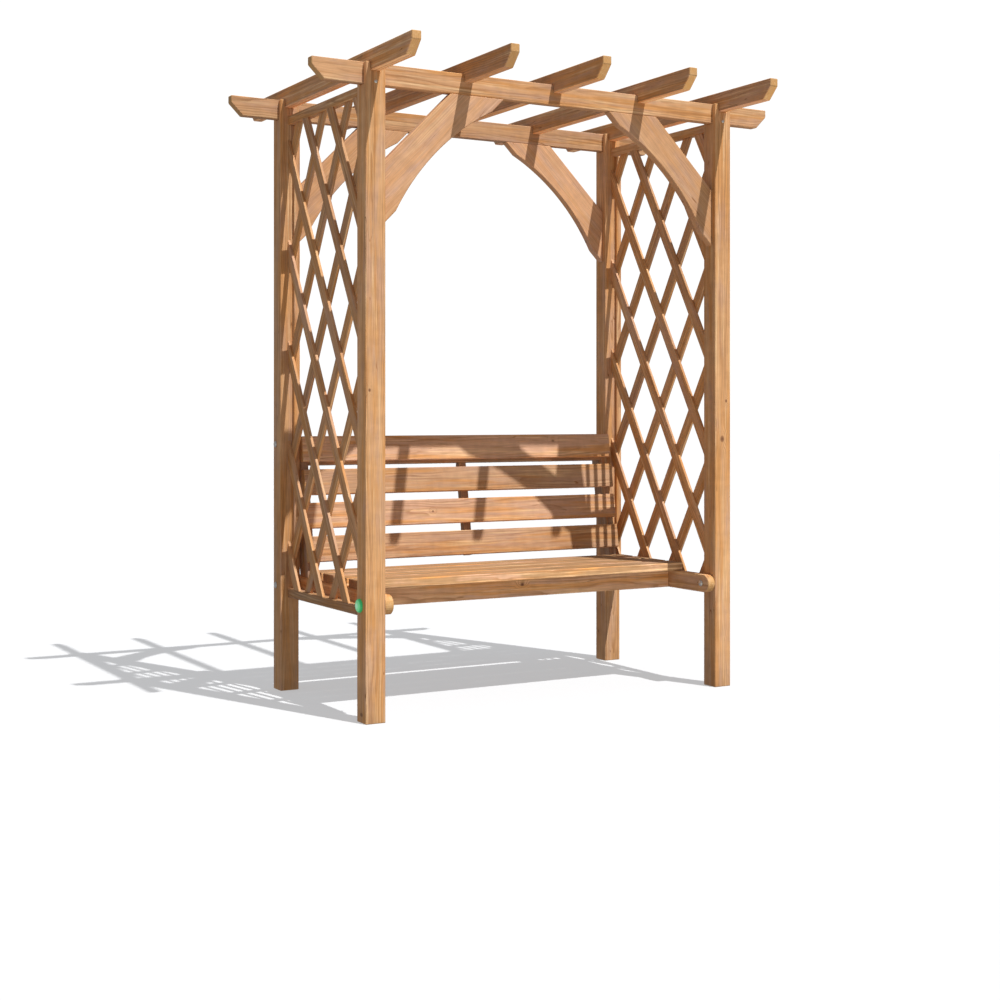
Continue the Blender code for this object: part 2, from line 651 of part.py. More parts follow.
def main():
    for obj in list(bpy.data.objects):
        bpy.data.objects.remove(obj)
    parts = make_collection("pergola_bench")
    cutters = make_collection("cutters")
    post_wood = make_material("post_wood", "C0925F", 0.7)
    beam_wood = make_material("beam_wood", "BC8D5C", 0.7)
    rafter_wood = make_material("rafter_wood", "A87750", 0.7)
    brace_wood = make_material("brace_wood", "C4955F", 0.7)
    trellis_wood = make_material("trellis_wood", "9F7049", 0.75)
    seat_wood = make_material("seat_wood", "C99A66", 0.65)
    back_wood = make_material("back_wood", "B4865A", 0.7)
    zinc = make_material("zinc", "B9BABB", 0.35, 1)
    green_plastic = make_material("green_plastic", "1E9A55", 0.25)
    posts = make_posts(parts, cutters, post_wood)
    beams = make_beams(parts, beam_wood)
    make_rafters(parts, rafter_wood)
    make_braces(parts, brace_wood)
    make_trellis(parts, cutters, trellis_wood)
    bearers = make_seat(parts, post_wood, seat_wood)
    uprights = make_backrest(parts, back_wood, back_wood)
    make_bolts(posts, bearers, uprights, parts, cutters, zinc)
    make_beam_screws(posts, beams, parts, cutters, zinc)
    make_cap(parts, green_plastic)


main()
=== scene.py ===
"""Pergola bench: the finish of every timber and fitting, and a plain studio around them.

Metres, +Z up. The origin is on the ground, midway between the four posts.
X runs along the bench, and -Y is the side that people sit down from.
"""

import math
from functools import partial

import bmesh
import bpy
from bpy.props import FloatProperty, FloatVectorProperty, PointerProperty
from mathutils import Matrix, Vector


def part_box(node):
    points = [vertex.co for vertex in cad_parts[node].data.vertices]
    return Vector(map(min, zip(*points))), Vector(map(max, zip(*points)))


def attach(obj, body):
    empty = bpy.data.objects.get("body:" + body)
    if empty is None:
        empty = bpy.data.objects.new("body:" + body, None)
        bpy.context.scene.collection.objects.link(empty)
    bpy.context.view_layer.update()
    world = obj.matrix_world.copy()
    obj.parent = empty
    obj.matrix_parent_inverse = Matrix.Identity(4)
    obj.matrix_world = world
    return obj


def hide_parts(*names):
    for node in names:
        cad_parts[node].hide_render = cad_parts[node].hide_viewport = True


bl_info = {
    "name": "Pergola Bench",
    "version": (1, 0, 0),
    "blender": (4, 5, 0),
    "location": "View3D > Sidebar > Pergola Bench",
    "description": "Finishes the timbers and fittings of a pergola bench and sets a plain studio around it",
    "category": "Object",
}

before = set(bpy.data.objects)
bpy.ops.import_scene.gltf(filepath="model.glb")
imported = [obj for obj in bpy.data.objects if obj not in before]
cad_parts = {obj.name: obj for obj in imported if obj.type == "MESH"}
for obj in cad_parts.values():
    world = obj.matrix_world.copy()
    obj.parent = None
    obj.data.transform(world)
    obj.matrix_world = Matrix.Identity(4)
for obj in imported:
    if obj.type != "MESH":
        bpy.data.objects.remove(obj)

BODY = "root"
SIDES = {"left": -1, "right": 1}
ENDS = {"front": -1, "back": 1}
X = Vector((1, 0, 0))
Y = Vector((0, 1, 0))
Z = Vector((0, 0, 1))


def to_linear(hex_colour):
    """The linear RGBA of an sRGB colour such as B98A5A."""
    channels = [int(hex_colour[place : place + 2], 16) / 255 for place in (0, 2, 4)]
    bent = [c / 12.92 if c <= 0.04045 else ((c + 0.055) / 1.055) ** 2.4 for c in channels]
    return (*bent, 1)


def millimetres(*sizes):
    """Real sizes in millimetres, as metres."""
    return tuple(size / 1000 for size in sizes)


# What every colour in the sidebar shares, and how a Map Range eases
COLOUR = {"subtype": "COLOR", "size": 4, "min": 0, "max": 1}
SMOOTH = {"interpolation_type": "SMOOTHSTEP"}

# How far one unit of seed moves a board through the pattern, and what a seed's second draw adds to it
SEED_AWAY = (3.1, 1.7, 2.3)
SECOND_DRAW = 0.37

# A radius that stands in where there is no knot to divide by
TINY = 0.0001

# How far the growth rings are swept aside at a knot, and how far latewood stands proud
KNOT_SWEEP, GRAIN_RELIEF = millimetres(13, 0.4)

# The seeds of a panel's laths: the first, the step to the next, and where they start again
LATH_SEED, LATH_SEED_STEP, LATH_SEED_LIMIT = 0.4, 0.173, 5

# The tones of the laths: the darkest, the span to the palest, and a seed's pace through it
LATH_TONE, LATH_TONE_SPAN, LATH_TONE_PACE = 0.92, 0.16, 7.3

# Edges that turn by more than this stay sharp
SHARP_EDGE = math.radians(40)

# How brightly the backdrop glows, and how far it stays inside the floor's edge, in metres
BACKDROP_GLOW, BACKDROP_INSET = 1.05, 1


class TimberSettings(bpy.types.PropertyGroup):
    """Colours of the stained softwood, and the sizes of what shows in it."""

    post_colour: FloatVectorProperty(
        name="Posts", description="Stained colour of the posts", default=to_linear("D7A370"), **COLOUR,
    )
    beam_colour: FloatVectorProperty(
        name="Beams", description="Stained colour of the two beams", default=to_linear("D5A16F"), **COLOUR,
    )
    rafter_colour: FloatVectorProperty(
        name="Rafters", description="Stained colour of the rafters", default=to_linear("CD986A"), **COLOUR,
    )
    brace_colour: FloatVectorProperty(
        name="Braces", description="Stained colour of the braces", default=to_linear("D8A474"), **COLOUR,
    )
    trellis_colour: FloatVectorProperty(
        name="Trellis", description="Stained colour of the rails, battens and laths",
        default=to_linear("CD9968"), **COLOUR,
    )
    # The seat's colour is darker than the other timbers' so that the slats' sunlit tops come out dim:
    # painted shade
    seat_colour: FloatVectorProperty(
        name="Seat", description="Stained colour of the seat slats", default=to_linear("A47F58"), **COLOUR,
    )
    back_colour: FloatVectorProperty(
        name="Backrest", description="Stained colour of the backrest", default=to_linear("D1A279"), **COLOUR,
    )
    latewood_colour: FloatVectorProperty(
        name="Latewood", description="Colour of the dark lines of the growth rings",
        default=to_linear("96602F"), **COLOUR,
    )
    pale_colour: FloatVectorProperty(
        name="Pale streaks", description="Colour of the pale streaks of young wood",
        default=to_linear("EFC795"), **COLOUR,
    )
    honey_colour: FloatVectorProperty(
        name="Honey streaks", description="Golden colour where the stain soaked in",
        default=to_linear("D2914A"), **COLOUR,
    )
    blush_colour: FloatVectorProperty(
        name="Heartwood blush", description="Pinkish colour that clouds the boards",
        default=to_linear("C99E80"), **COLOUR,
    )
    # The seat slats' sawn ends are made darker than other end grain: painted shade, as they stand in shade
    seat_end_colour: FloatVectorProperty(
        name="Seat ends", description="Colour of the seat slats' darker sawn ends",
        default=to_linear("A5744C"), **COLOUR,
    )
    end_colour: FloatVectorProperty(
        name="End grain", description="Colour of the sawn ends", default=to_linear("CDA061"), **COLOUR,
    )
    knot_colour: FloatVectorProperty(
        name="Knots", description="Colour of the knots", default=to_linear("6F4226"), **COLOUR,
    )
    ring_width: FloatProperty(
        name="Ring width", description="Distance between growth rings, a little coarser than real",
        unit="LENGTH", min=0.001, max=0.03, default=0.0065,
    )
    knot_place: FloatVectorProperty(
        name="Knot", description="Where the front right post has its knot: X and height", unit="LENGTH",
        size=2, default=(0.6974, 0.912),
    )
    knot_radius: FloatProperty(
        name="Knot radius", description="Radius of that knot", unit="LENGTH", default=0.009,
    )
    pin_place: FloatVectorProperty(
        name="Pin knot", description="Where the front right post has its pin knot: X and height",
        unit="LENGTH", size=2, default=(0.7153, 1.052),
    )
    pin_radius: FloatProperty(
        name="Pin knot radius", description="Radius of that pin knot", unit="LENGTH", default=0.0045,
    )
    eye_place: FloatVectorProperty(
        name="Eye", description="Where the grain of the front left post swirls: X and height", unit="LENGTH",
        size=2, default=(-0.722, 1.081),
    )
    eye_radius: FloatProperty(
        name="Eye radius", description="Radius of the small knot in that swirl", unit="LENGTH",
        default=0.0045,
    )
    rail_knot_place: FloatVectorProperty(
        name="Rail knot", description="Where the front seat rail has its knot: X and height", unit="LENGTH",
        size=2, default=(-0.007, 0.391),
    )
    rail_knot_radius: FloatProperty(
        name="Rail knot radius", description="Radius of that knot", unit="LENGTH", default=0.006,
    )
    slat_eye_x: FloatProperty(
        name="Slat eye", description="Where the second slat of the backrest has its knot, along X",
        unit="LENGTH", default=-0.156,
    )
    slat_eye_radius: FloatProperty(
        name="Slat eye radius", description="Radius of that knot", unit="LENGTH", default=0.004,
    )
    backrest_lean: FloatProperty(
        name="Backrest lean", description="How far the backrest leans back from upright", unit="ROTATION",
        default=math.radians(9.8),
    )


class TrellisSettings(bpy.types.PropertyGroup):
    """Sizes of the laths that are crossed in each side panel."""

    lath_width: FloatProperty(
        name="Lath width", description="Width of a lath's face", unit="LENGTH", default=0.043,
    )
    lath_spacing: FloatProperty(
        name="Lath spacing", description="Level distance between the middles of neighbouring laths",
        unit="LENGTH", default=0.2173,
    )
    lath_angle: FloatProperty(
        name="Lath angle", description="Angle of the laths from upright", unit="ROTATION",
        default=math.radians(30.8),
    )
    lath_arris: FloatProperty(
        name="Lath arris", description="Width of the sanded edges of a lath", unit="LENGTH", default=0.0008,
    )


class FittingSettings(bpy.types.PropertyGroup):
    """Sizes and colours of the bolts, the screws and the cap."""

    zinc_colour: FloatVectorProperty(
        name="Zinc", description="Colour of the plated bolts and screws", default=to_linear("DAD8D2"),
        **COLOUR,
    )
    cap_colour: FloatVectorProperty(
        name="Cap", description="Colour of the plastic cap over the front left bolt",
        default=to_linear("7FE29E"), **COLOUR,
    )
    # The deeper rim colour is painted shade where the cap's wall turns
    cap_rim_colour: FloatVectorProperty(
        name="Cap rim colour", description="Deeper colour of the plastic where the cap's wall turns",
        default=to_linear("35B56C"), **COLOUR,
    )
    # The cap's glow is painted light: the plastic shines by itself although it is no lamp
    cap_glow: FloatProperty(
        name="Cap glow", description="Sunlight that the translucent plastic passes on from its lit rim",
        min=0, default=0.28,
    )
    # The paler crown colour is a painted highlight
    cap_crown_colour: FloatVectorProperty(
        name="Cap crown", description="Paler colour in the middle of the cap, where the plastic is thinnest",
        default=to_linear("B4F5CC"), **COLOUR,
    )
    bolt_diameter: FloatProperty(
        name="Bolt", description="Diameter of a coach bolt", unit="LENGTH", default=0.008,
    )
    bolt_head_diameter: FloatProperty(
        name="Bolt head", description="Diameter of a coach bolt's domed head", unit="LENGTH", default=0.020,
    )
    washer_diameter: FloatProperty(
        name="Washer", description="Diameter of the washers under the heads and nuts", unit="LENGTH",
        default=0.024,
    )
    washer_thickness: FloatProperty(
        name="Washer thickness", description="Thickness of the washers", unit="LENGTH", default=0.0016,
    )
    nut_flats: FloatProperty(
        name="Nut", description="Distance across the flats of a nut", unit="LENGTH", default=0.013,
    )
    nut_height: FloatProperty(
        name="Nut height", description="Height of a nut", unit="LENGTH", default=0.0065,
    )
    thread_pitch: FloatProperty(
        name="Thread pitch", description="Distance between two turns of a bolt's thread", unit="LENGTH",
        default=0.00125,
    )
    screw_diameter: FloatProperty(
        name="Screw", description="Diameter of a coach screw", unit="LENGTH", default=0.006,
    )
    cap_rim: FloatProperty(
        name="Cap rim", description="Height of the cap's upright rim", unit="LENGTH", default=0.003,
    )
    cap_wall: FloatProperty(
        name="Cap wall", description="Thickness of the cap's wall", unit="LENGTH", default=0.002,
    )


class StageSettings(bpy.types.PropertyGroup):
    """The floor, the lights and the camera."""

    floor_colour: FloatVectorProperty(
        name="Floor", description="Colour of the floor under the sun", default=to_linear("B0B0B0"), **COLOUR,
    )
    glow_colour: FloatVectorProperty(
        name="Glow", description="Colour of the floor's own light, cool enough to make its shadows neutral",
        default=to_linear("FBFDFF"), **COLOUR,
    )
    floor_glow: FloatProperty(
        name="Floor glow", description="Light of the floor itself, which keeps the shadows pale", min=0,
        default=0.41,
    )
    floor_radius: FloatProperty(
        name="Floor radius", description="Radius of the round floor", unit="LENGTH", default=40,
    )
    fill_strength: FloatProperty(
        name="Fill", description="Brightness of the low fill light in front, as a share of white", min=0,
        default=0.45,
    )
    fill_colour: FloatVectorProperty(
        name="Fill colour", description="Colour of the fill light, warm as the ground throws sunlight up",
        default=to_linear("FFF6E1"), **COLOUR,
    )
    fill_size: FloatVectorProperty(
        name="Fill size", description="Width and depth of the fill light, which lies before the bench",
        unit="LENGTH", size=2, default=(10, 5.6),
    )
    fill_height: FloatProperty(
        name="Fill height", description="Height of the fill light above the floor", unit="LENGTH",
        default=0.002,
    )
    fill_start: FloatProperty(
        name="Fill start", description="How far before the middle of the bench the fill light starts",
        unit="LENGTH", default=0.5,
    )
    sun_strength: FloatProperty(name="Sun", description="Strength of the key light", min=0, default=4.2)
    sun_angle: FloatProperty(
        name="Sun size", description="Width of the key light in the sky, which softens the shadows",
        unit="ROTATION", default=math.radians(0.6),
    )
    sun_way: FloatVectorProperty(
        name="Sun direction", description="The way that the light travels", size=3,
        default=(-0.2009, 0.5765, -1.0),
    )
    sky_colour: FloatVectorProperty(
        name="Sky", description="Colour of the soft light from all sides", default=to_linear("F9F9FF"),
        **COLOUR,
    )
    sky_strength: FloatProperty(
        name="Sky strength", description="Strength of the soft light from all sides", min=0, default=0.31,
    )
    camera_place: FloatVectorProperty(
        name="Camera", description="Where the camera stands", subtype="TRANSLATION", unit="LENGTH", size=3,
        default=(-2.8988, -5.1705, 1.0049),
    )
    camera_turn: FloatProperty(
        name="Camera turn", description="How far the level camera turns to the right of +Y", unit="ROTATION",
        default=0.5375,
    )
    camera_lens: FloatProperty(
        name="Lens", description="Focal length in millimetres on a 36 mm sensor", default=58.0,
    )
    camera_shift: FloatVectorProperty(
        name="Shift", description="Shift of the lens, as shares of the picture", size=2,
        default=(-0.0458, -0.0863),
    )


def add_node(tree, kind, inputs=None, output=0, **settings):
    """Adds a node with its settings and links. Gives back one output, or all where output is None.

    An input is given by name or number: a value, or the socket that feeds it.
    """
    node = tree.nodes.new(kind if kind.startswith("NodeGroup") else "ShaderNode" + kind)
    for name, value in settings.items():
        setattr(node, name, value)
    for key, value in (inputs or {}).items():
        if isinstance(value, bpy.types.NodeSocket):
            tree.links.new(value, node.inputs[key])
        else:
            node.inputs[key].default_value = value
    return node.outputs if output is None else node.outputs[output]


def new_material(name):
    """A node material, its tree, and the inputs of its surface."""
    material = bpy.data.materials.new(name)
    material.use_nodes = True
    tree = material.node_tree
    return material, tree, tree.nodes["Principled BSDF"].inputs


def softwood_pattern(ring_width):
    """The pattern inside sawn softwood. It is solid, so that the faces, edges and ends of a board agree.

    Place is a point of the board: along it, across its wide face and through it, in metres.
    Facing is the surface's direction in the same three.
    A Map Range's inputs are its value (0), where it starts and stops (1, 2) and what it gives there (3, 4).
    """
    group = bpy.data.node_groups.new("sawn_softwood_pattern", "ShaderNodeTree")
    for kind, names in {
        "Vector": ("Place", "Facing", "Knot Place", "Pin Place"),
        "Float": ("Seed", "Tone", "Painted Edge Light", "Blush Share", "Grain", "Knot Radius", "Pin Radius"),
        "Color": ("Wood", "Latewood", "Pale", "Honey", "Blush", "End Grain", "Knot"),
    }.items():
        for name in names:
            group.interface.new_socket(name, in_out="INPUT", socket_type="NodeSocket" + kind)
    for name, kind in {"Color": "Color", "Roughness": "Float", "Height": "Float"}.items():
        group.interface.new_socket(name, in_out="OUTPUT", socket_type="NodeSocket" + kind)
    add = partial(add_node, group)
    given = add("NodeGroupInput", output=None)

    # Chance: each seed draws six random numbers, and takes its board from another part of the pattern
    chance = add("TexWhiteNoise", {"W": given["Seed"]}, "Color", noise_dimensions="1D")
    later = add("Math", {0: given["Seed"], 1: SECOND_DRAW}, operation="ADD")
    second_chance = add("TexWhiteNoise", {"W": later}, "Color", noise_dimensions="1D")
    away = add("VectorMath", {0: SEED_AWAY, "Scale": given["Seed"]}, operation="SCALE")
    spot = add("VectorMath", {0: given["Place"], 1: away}, operation="ADD")

    def patches(size, shift=(0, 0, 0), detail=2.0, roughness=0.5, output="Fac"):
        """Soft random patches. size is their length, width and depth in millimetres."""
        moved = add("VectorMath", {0: spot, 1: shift}, operation="ADD")
        scaled = add("VectorMath", {0: moved, 1: millimetres(*size)}, operation="DIVIDE")
        inputs = {"Vector": scaled, "Scale": 1, "Detail": detail, "Roughness": roughness}
        return add("TexNoise", inputs, output)

    # Knots: branches that grew outwards, sawn through as ovals, now and then along a board
    cell = millimetres(380, 100, 100)
    cell_spot = add("VectorMath", {0: spot, 1: cell}, operation="DIVIDE")
    cells = add("TexVoronoi", {"Vector": cell_spot, "Scale": 1, "Randomness": 0.9}, None)
    luck = add("SeparateXYZ", {0: cells["Color"]}, None)
    from_knot = add("VectorMath", {0: cell_spot, 1: cells["Position"]}, operation="SUBTRACT")
    oval = tuple(size * share for size, share in zip(cell, (0.7, 1, 0.4)))
    knot_way = add("VectorMath", {0: from_knot, 1: oval}, operation="MULTIPLY")
    knot_far = add("VectorMath", {0: knot_way}, "Value", operation="LENGTH")
    present = add("Math", {0: luck["X"], 1: 0.87}, operation="GREATER_THAN")
    low, high = millimetres(2, 6)
    knot_size = add("MapRange", {0: luck["Y"], 3: low, 4: high}, **SMOOTH)
    knot_radius = add("Math", {0: knot_size, 1: present, 2: TINY}, operation="MULTIPLY_ADD")
    knot_share = add("Math", {0: knot_far, 1: knot_radius}, operation="DIVIDE")

    # The knots that a board is given, measured in their own radii
    for mark in ("Knot", "Pin"):
        offset = add("VectorMath", {0: given["Place"], 1: given[mark + " Place"]}, operation="SUBTRACT")
        flat = add("VectorMath", {0: offset, 1: (0.75, 1, 0)}, operation="MULTIPLY")
        far = add("VectorMath", {0: flat}, "Value", operation="LENGTH")
        reach = add("Math", {0: given[mark + " Radius"], 1: TINY}, operation="ADD")
        near = add("Math", {0: far, 1: reach}, operation="DIVIDE")
        knot_share = add("Math", {0: knot_share, 1: near}, operation="MINIMUM")
    knot = add("MapRange", {0: knot_share, 1: 1.25, 2: 0.7}, **SMOOTH)
    knot_heart = add("MapRange", {0: knot_share, 1: 0.75, 2: 0.2}, **SMOOTH)

    # Growth rings round a pith outside the board, drifting along it and swept round the knots
    sway = patches((420, 75, 75), detail=3, output="Color")
    place = add(
        "VectorMath", {0: sway, 1: millimetres(0, 30, 30), 2: given["Place"]}, operation="MULTIPLY_ADD"
    )
    pith = add(
        "VectorMath", {0: chance, 1: millimetres(0, 70, 50), 2: millimetres(0, -46, 14)},
        operation="MULTIPLY_ADD",
    )
    drift = add(
        "VectorMath", {0: second_chance, 1: millimetres(0, 34, 34), 2: millimetres(0, -17, -17)},
        operation="MULTIPLY_ADD",
    )
    along = add("SeparateXYZ", {0: given["Place"]}, "X")
    drifted = add("VectorMath", {0: drift, "Scale": along}, operation="SCALE")
    for shift in (pith, drifted):
        place = add("VectorMath", {0: place, 1: shift}, operation="ADD")
    level = add("VectorMath", {0: place, 1: (0, 1, 1)}, operation="MULTIPLY")
    radius = add("VectorMath", {0: level}, "Value", operation="LENGTH")
    sweep = add("MapRange", {0: knot_share, 1: 4.5, 2: 0.6, 4: KNOT_SWEEP}, **SMOOTH)
    swept = add("Math", {0: radius, 1: sweep}, operation="ADD")
    count = add("Math", {0: swept, 1: ring_width}, operation="DIVIDE")
    year = add("TexNoise", {"W": count, "Scale": 0.31, "Detail": 1}, noise_dimensions="1D")
    uneven = add("Math", {0: year, 1: 2.2, 2: count}, operation="MULTIPLY_ADD")
    ring = add("Math", {0: uneven}, operation="FRACT")
    rise = add("MapRange", {0: ring, 1: 0.45, 2: 0.92}, **SMOOTH)
    fall = add("MapRange", {0: ring, 1: 1.0, 2: 0.92}, **SMOOTH)
    latewood = add("Math", {0: rise, 1: fall}, operation="MULTIPLY")
    growth = patches((700, 34, 34), (5, 1, 2), 1)
    vigour = add("MapRange", {0: growth, 1: 0.4, 2: 0.62, 3: 0.1, 4: 0.6}, **SMOOTH)
    strength = add("Math", {0: vigour, 1: given["Grain"]}, operation="MULTIPLY")
    line = add("Math", {0: latewood, 1: strength}, operation="MULTIPLY")

    # Streaks, fibres, clouds of stain and hairline drying checks. The fibres are drawn coarser than real.
    cloud = patches((240, 55, 55), (0, 0, 0), 4, 0.6)
    honey = patches((420, 32, 32), (1, 7, 3), 3, 0.6)
    dark_streak = patches((420, 14, 14), (2, 3, 5), 4, 0.6)
    pale_streak = patches((430, 9, 9), (9, 4, 1), 4, 0.62)
    figure = patches((34, 60, 60), (3, 8, 6), 2)
    fibre = patches((60, 1.6, 1.6), (0, 0, 0), 3)
    check_noise = patches((330, 24, 24), (4, 4, 4), 1)
    check_far = add("Math", {0: check_noise, 1: 0.5}, operation="SUBTRACT")
    check_near = add("Math", {0: check_far}, operation="ABSOLUTE")
    hairline = add("MapRange", {0: check_near, 1: 0.010, 2: 0.002}, **SMOOTH)
    dry = add("MapRange", {0: cloud, 1: 0.54, 2: 0.66}, **SMOOTH)
    check = add("Math", {0: hairline, 1: dry}, operation="MULTIPLY")

    # What tints the wood, in order, and how much
    blush = add("MapRange", {0: cloud, 1: 0.46, 2: 0.63, 4: 0.7}, **SMOOTH)
    blush = add("Math", {0: blush, 1: given["Blush Share"]}, operation="ADD")
    layers = [(blush, "Blush")]
    for streak, start, stop, most, tint in (
        (honey, 0.46, 0.64, 0.75, "Honey"),
        (pale_streak, 0.5, 0.69, 0.8, "Pale"),
        (dark_streak, 0.5, 0.75, 0.5, "Latewood"),
    ):
        share = add("MapRange", {0: streak, 1: start, 2: stop, 4: most}, **SMOOTH)
        share = add("Math", {0: share, 1: given["Grain"]}, operation="MULTIPLY")
        layers.append((share, tint))
    layers.append((line, "Latewood"))

    # Shades of fibre and figure, sawn ends, painted light and shade on the face that Y points away from, and
    # worn corners with a painted highlight
    fibre_shade = add("MapRange", {0: fibre, 1: 0.25, 2: 0.75, 3: 1.12, 4: 0.86}, **SMOOTH)
    figure_shade = add("MapRange", {0: figure, 1: 0.3, 2: 0.7, 3: 0.95, 4: 1.05}, **SMOOTH)
    shade = add("Math", {0: fibre_shade, 1: figure_shade}, operation="MULTIPLY")
    shade = add("Math", {0: shade, 1: given["Tone"]}, operation="MULTIPLY")
    facing = add("SeparateXYZ", {0: given["Facing"]}, None)
    square_on = add("Math", {0: facing["X"]}, operation="ABSOLUTE")
    end = add("MapRange", {0: square_on, 1: 0.45, 2: 0.7, 4: 0.6}, **SMOOTH)
    # Painted light and shade: the face that Y points away from is scaled by the board's own factor
    edge = add("MapRange", {0: facing["Y"], 1: -0.4, 2: -0.65, 3: 1, 4: given["Painted Edge Light"]}, **SMOOTH)
    # Arrises a little paler: partly wear, partly a painted highlight where bevels catch the light
    corner = add("Math", {0: facing["Y"], 1: facing["Z"]}, operation="MULTIPLY")
    arris = add("Math", {0: corner}, operation="ABSOLUTE")
    worn_and_highlit = add("MapRange", {0: arris, 1: 0.1, 2: 0.45, 3: 1.0, 4: 1.1}, **SMOOTH)
    depth = add("Math", {0: knot_heart, 1: 0.3, 2: 0.62}, operation="MULTIPLY_ADD")
    knot_tint = add("Math", {0: knot, 1: depth}, operation="MULTIPLY")
    layers += [
        (shade, None), (end, "End Grain"), (edge, None), (worn_and_highlit, None),
        (check, "Latewood"), (knot_tint, "Knot"),
    ]
    colour = given["Wood"]
    for share, tint in layers:
        if tint:
            colour = add("Mix", {0: share, 6: colour, 7: given[tint]}, 2, data_type="RGBA")
        else:
            colour = add("VectorMath", {0: colour, "Scale": share}, operation="SCALE")

    # Latewood is denser, so it stands a little proud and shines a little more
    rough = add("MapRange", {0: line, 1: 0, 2: 0.6, 3: 0.72, 4: 0.58}, **SMOOTH)
    relief = add("Math", {0: line, 1: 0.7, 2: fibre}, operation="MULTIPLY_ADD")
    sunk = add("Math", {0: relief, 1: check}, operation="SUBTRACT")
    add("NodeGroupOutput", {"Color": colour, "Roughness": rough, "Height": sunk}, None)
    return group


def stained_softwood(name, colour, grain=1.0, lath=False, end_colour=None):
    """Planed spruce under a thin matt brown stain: the grain shows through it, its arrises are a little
    paler, partly as wear and partly as a painted highlight, and one face of each board carries painted light
    and shade.

    A board says by its own properties how it was sawn. Laths that share a mesh say it by its attributes.
    """
    timber = bpy.context.scene.bench_timber
    pattern = bpy.data.node_groups.get("sawn_softwood_pattern") or softwood_pattern(timber.ring_width)
    material, tree, surface = new_material(name)
    values = {
        "Wood": colour, "Grain": grain, "Latewood": timber.latewood_colour, "Pale": timber.pale_colour,
        "Honey": timber.honey_colour, "Blush": timber.blush_colour, "Knot": timber.knot_colour,
        "End Grain": end_colour or timber.end_colour,
    }
    if lath:
        source = "GEOMETRY"
        marks = {"Vector": ("Place",), "Fac": ("Seed", "Tone")}
        values.update({"Facing": (0, 0, 1), "Painted Edge Light": 1.0, "Blush Share": 0.0})
    else:
        source = "OBJECT"
        marks = {
            "Vector": ("Middle", "Turn", "Knot Place", "Pin Place"),
            "Fac": ("Seed", "Tone", "Painted Edge Light", "Blush Share", "Knot Radius", "Pin Radius"),
        }
    for output, keys in marks.items():
        for key in keys:
            mark = "board_" + key.lower().replace(" ", "_")
            values[key] = add_node(
                tree, "Attribute", None, output, attribute_type=source, attribute_name=mark
            )
    if not lath:
        middle = values.pop("Middle")
        turned = {"Rotation": values.pop("Turn")}
        unturn = {"rotation_type": "EULER_XYZ", "invert": True}
        point = add_node(tree, "TexCoord", output=None)
        place = add_node(
            tree, "VectorRotate", {"Vector": point["Object"], "Center": middle, **turned}, **unturn
        )
        values["Place"] = add_node(tree, "VectorMath", {0: place, 1: middle}, operation="SUBTRACT")
        values["Facing"] = add_node(tree, "VectorRotate", {"Vector": point["Normal"], **turned}, **unturn)
    sawn = add_node(tree, "Group", values, None, node_tree=pattern)
    relief = {"Height": sawn["Height"], "Strength": 0.5, "Distance": GRAIN_RELIEF}
    tree.links.new(add_node(tree, "Bump", relief), surface["Normal"])
    tree.links.new(sawn["Color"], surface["Base Color"])
    tree.links.new(sawn["Roughness"], surface["Roughness"])
    surface["IOR"].default_value = 1.5
    return material


def finish_board(
    name, material, along, across, seed, tone=1.0, painted_edge_light=1.0, blush=0.0, knot=None, pin=None
):
    """Gives a timber its material, and says how it was sawn: along its grain and across its wide face.

    The face that across points away from is brightened or darkened by a factor of its own: painted light on
    rafter undersides, seat fronts and some post sides, painted shade where the factor is below 1.
    blush is how much of the pinkish heartwood the whole board has.
    A knot and a small pin knot are given by their place on the bench and their radius.
    """
    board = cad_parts[name]
    low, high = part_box(name)
    middle = (low + high) / 2
    sawn = Matrix((along, across, along.cross(across))).transposed()
    board["board_middle"] = list(middle)
    board["board_turn"] = list(sawn.to_euler("XYZ"))
    for mark, value in {"seed": seed, "tone": tone, "painted_edge_light": painted_edge_light, "blush_share": blush}.items():
        board["board_" + mark] = float(value)
    for mark, spot in {"board_knot": knot, "board_pin": pin}.items():
        place, radius = spot or (middle, 0)
        board[mark + "_place"] = list(sawn.transposed() @ (Vector(place) - middle))
        board[mark + "_radius"] = float(radius)
    board.data.materials.clear()
    board.data.materials.append(material)


def turned_mesh(bm, profile, steps):
    """Adds to bm a turned shape round Z, from (radius, height) points down its outer side."""
    rings = []
    for radius, height in profile:
        if radius == 0:
            rings.append([bm.verts.new((0, 0, height))])
        else:
            ways = [step / steps * math.tau for step in range(steps)]
            rings.append([bm.verts.new((radius * math.cos(w), radius * math.sin(w), height)) for w in ways])
    for upper, lower in zip(rings, rings[1:]):
        for step in range(steps):
            after = (step + 1) % steps
            if len(upper) == 1:
                bm.faces.new((upper[0], lower[step], lower[after]))
            elif len(lower) == 1:
                bm.faces.new((upper[step], lower[0], upper[after]))
            else:
                bm.faces.new((upper[step], lower[step], lower[after], upper[after]))


def new_object(name, data):
    """Puts a new object into the scene."""
    made = bpy.data.objects.new(name, data)
    bpy.context.scene.collection.objects.link(made)
    return made


def mesh_object(name, bm, material):
    """Makes an object of bm, and empties bm."""
    mesh = bpy.data.meshes.new(name)
    bm.to_mesh(mesh)
    bm.free()
    mesh.materials.append(material)
    return new_object(name, mesh)


def add_piece(name, bm, material, matrix=None):
    """Makes an object of bm that rides on the bench, smooth but for its sharp edges."""
    piece = mesh_object(name, bm, material)
    piece.data.shade_smooth()
    piece.data.set_sharp_from_angle(angle=SHARP_EDGE)
    if matrix:
        piece.matrix_world = matrix
    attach(piece, BODY)
    return piece


